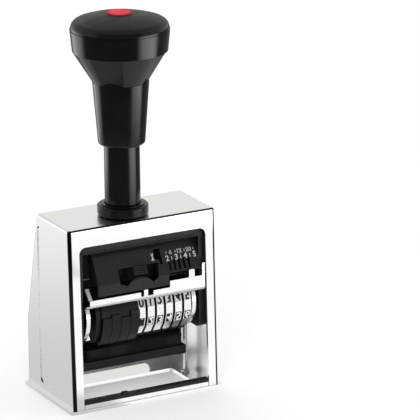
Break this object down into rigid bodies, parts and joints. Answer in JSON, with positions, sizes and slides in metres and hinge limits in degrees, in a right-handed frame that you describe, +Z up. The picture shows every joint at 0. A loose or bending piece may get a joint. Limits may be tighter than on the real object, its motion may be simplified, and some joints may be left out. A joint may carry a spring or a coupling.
{
  "type": "numbering machine",
  "caption": "Hand-pressed numbering machine: a plunger handle drives a head with number wheels and a swinging ink pad down inside a polished housing open at the front.",
  "frame": {"origin": "middle of the footprint's bounding box, on the surface that the sole stands on", "axes": "+Z up along the stroke of the handle; the open window faces -Y; +X is to the right of a person who looks into the window"},
  "size_m": [0.073, 0.0534, 0.1695],
  "materials": {
    "polished_chrome": "polished",
    "sole_plate": "polished",
    "ground_steel": "ground",
    "black_enamel": "gloss black",
    "handle_plastic": "polished black",
    "cap_plastic": "satin dark grey",
    "red_plastic": "gloss",
    "spring_steel": "satin",
    "head_metal": "satin black",
    "plated_steel": "satin nickel",
    "wheel_metal": "bright, inked in the hollows",
    "ink_felt": "inked felt",
    "panel_black": "satin black"
  },
  "bodies": {
    "root": {"housing_shell": "polished_chrome", "base_frame": "sole_plate", "guide_rod_left": "ground_steel", "guide_rod_right": "ground_steel", "base_screws": "ground_steel", "guide_tube": "black_enamel", "tube_nut": "ground_steel"},
    "lock_ring": {"lock_ring": "black_enamel"},
    "head": {"handle_sleeve": "handle_plastic", "knob_body": "handle_plastic", "knob_cap": "cap_plastic", "knob_dot": "red_plastic", "knob_screw": "ground_steel", "plunger_rod": "ground_steel", "return_spring": "spring_steel", "head_block": "head_metal", "side_cheek_left": "head_metal", "side_cheek_right": "head_metal", "head_screws": "ground_steel", "wheel_shaft": "ground_steel", "shaft_clips": "spring_steel", "shaft_spacer": "ground_steel", "wheel_cover": "black_enamel", "detent_springs": "spring_steel", "scale_panel": "panel_black", "finger_plate": "panel_black", "pointer_rail": "head_metal"},
    "feed": {"feed_frame": "plated_steel", "feed_pawls": "spring_steel"},
    "bail": {"switch_bail": "plated_steel"},
    "pad": {"pad_carrier": "black_enamel", "ink_pad": "ink_felt"},
    "pointer": {"repeat_pointer": "plated_steel"},
    "thumb": {"thumb_slide": "panel_black"},
    "wheel_1": {"number_wheel_1": "wheel_metal"},
    "wheel_2": {"number_wheel_2": "wheel_metal"},
    "wheel_3": {"number_wheel_3": "wheel_metal"},
    "wheel_4": {"number_wheel_4": "wheel_metal"},
    "wheel_5": {"number_wheel_5": "wheel_metal"},
    "wheel_6": {"number_wheel_6": "wheel_metal"},
    "wheel_7": {"number_wheel_7": "wheel_metal"},
    "wheel_8": {"number_wheel_8": "wheel_metal"}
  },
  "joints": [
    {"name": "press_stroke", "type": "slide", "parent": "root", "child": "head", "axis": [0, 0, 1], "range_m": [-0.0245, 0], "stiffness_N_per_m": 350, "springref_m": 0.02, "deforming": ["return_spring"]},
    {"name": "lock_turn", "type": "hinge", "parent": "root", "child": "lock_ring", "pos_m": [-0.0029, -0.0054, 0.084], "axis": [0, 0, 1], "range_deg": [0, 45]},
    {"name": "pad_swing", "type": "hinge", "parent": "head", "child": "pad", "pos_m": [0, -0.0029, 0.0392], "axis": [1, 0, 0], "range_deg": [0, 96]},
    {"name": "feed_rock", "type": "hinge", "parent": "head", "child": "feed", "pos_m": [0, -0.0029, 0.0392], "axis": [1, 0, 0], "range_deg": [0, 37]},
    {"name": "bail_rock", "type": "hinge", "parent": "head", "child": "bail", "pos_m": [0, -0.0029, 0.0392], "axis": [1, 0, 0], "range_deg": [0, 9]},
    {"name": "pointer_set", "type": "slide", "parent": "head", "child": "pointer", "axis": [1, 0, 0], "range_m": [-0.0092, 0]},
    {"name": "thumb_set", "type": "slide", "parent": "head", "child": "thumb", "axis": [1, 0, 0], "range_m": [-0.0054, 0.0052]},
    {"name": "wheel_1_spin", "type": "hinge", "parent": "head", "child": "wheel_1", "pos_m": [0, -0.0029, 0.0392], "axis": [1, 0, 0], "continuous": true},
    {"name": "wheel_2_spin", "type": "hinge", "parent": "head", "child": "wheel_2", "pos_m": [0, -0.0029, 0.0392], "axis": [1, 0, 0], "continuous": true},
    {"name": "wheel_3_spin", "type": "hinge", "parent": "head", "child": "wheel_3", "pos_m": [0, -0.0029, 0.0392], "axis": [1, 0, 0], "continuous": true},
    {"name": "wheel_4_spin", "type": "hinge", "parent": "head", "child": "wheel_4", "pos_m": [0, -0.0029, 0.0392], "axis": [1, 0, 0], "continuous": true},
    {"name": "wheel_5_spin", "type": "hinge", "parent": "head", "child": "wheel_5", "pos_m": [0, -0.0029, 0.0392], "axis": [1, 0, 0], "continuous": true},
    {"name": "wheel_6_spin", "type": "hinge", "parent": "head", "child": "wheel_6", "pos_m": [0, -0.0029, 0.0392], "axis": [1, 0, 0], "continuous": true},
    {"name": "wheel_7_spin", "type": "hinge", "parent": "head", "child": "wheel_7", "pos_m": [0, -0.0029, 0.0392], "axis": [1, 0, 0], "continuous": true},
    {"name": "wheel_8_spin", "type": "hinge", "parent": "head", "child": "wheel_8", "pos_m": [0, -0.0029, 0.0392], "axis": [1, 0, 0], "continuous": true}
  ],
  "couplings": [
    {"joint": "pad_swing", "follows": "press_stroke", "rad_per_m": -67.676},
    {"joint": "feed_rock", "follows": "press_stroke", "rad_per_m": -25.646},
    {"joint": "bail_rock", "follows": "press_stroke", "rad_per_m": -5.699}
  ]
}
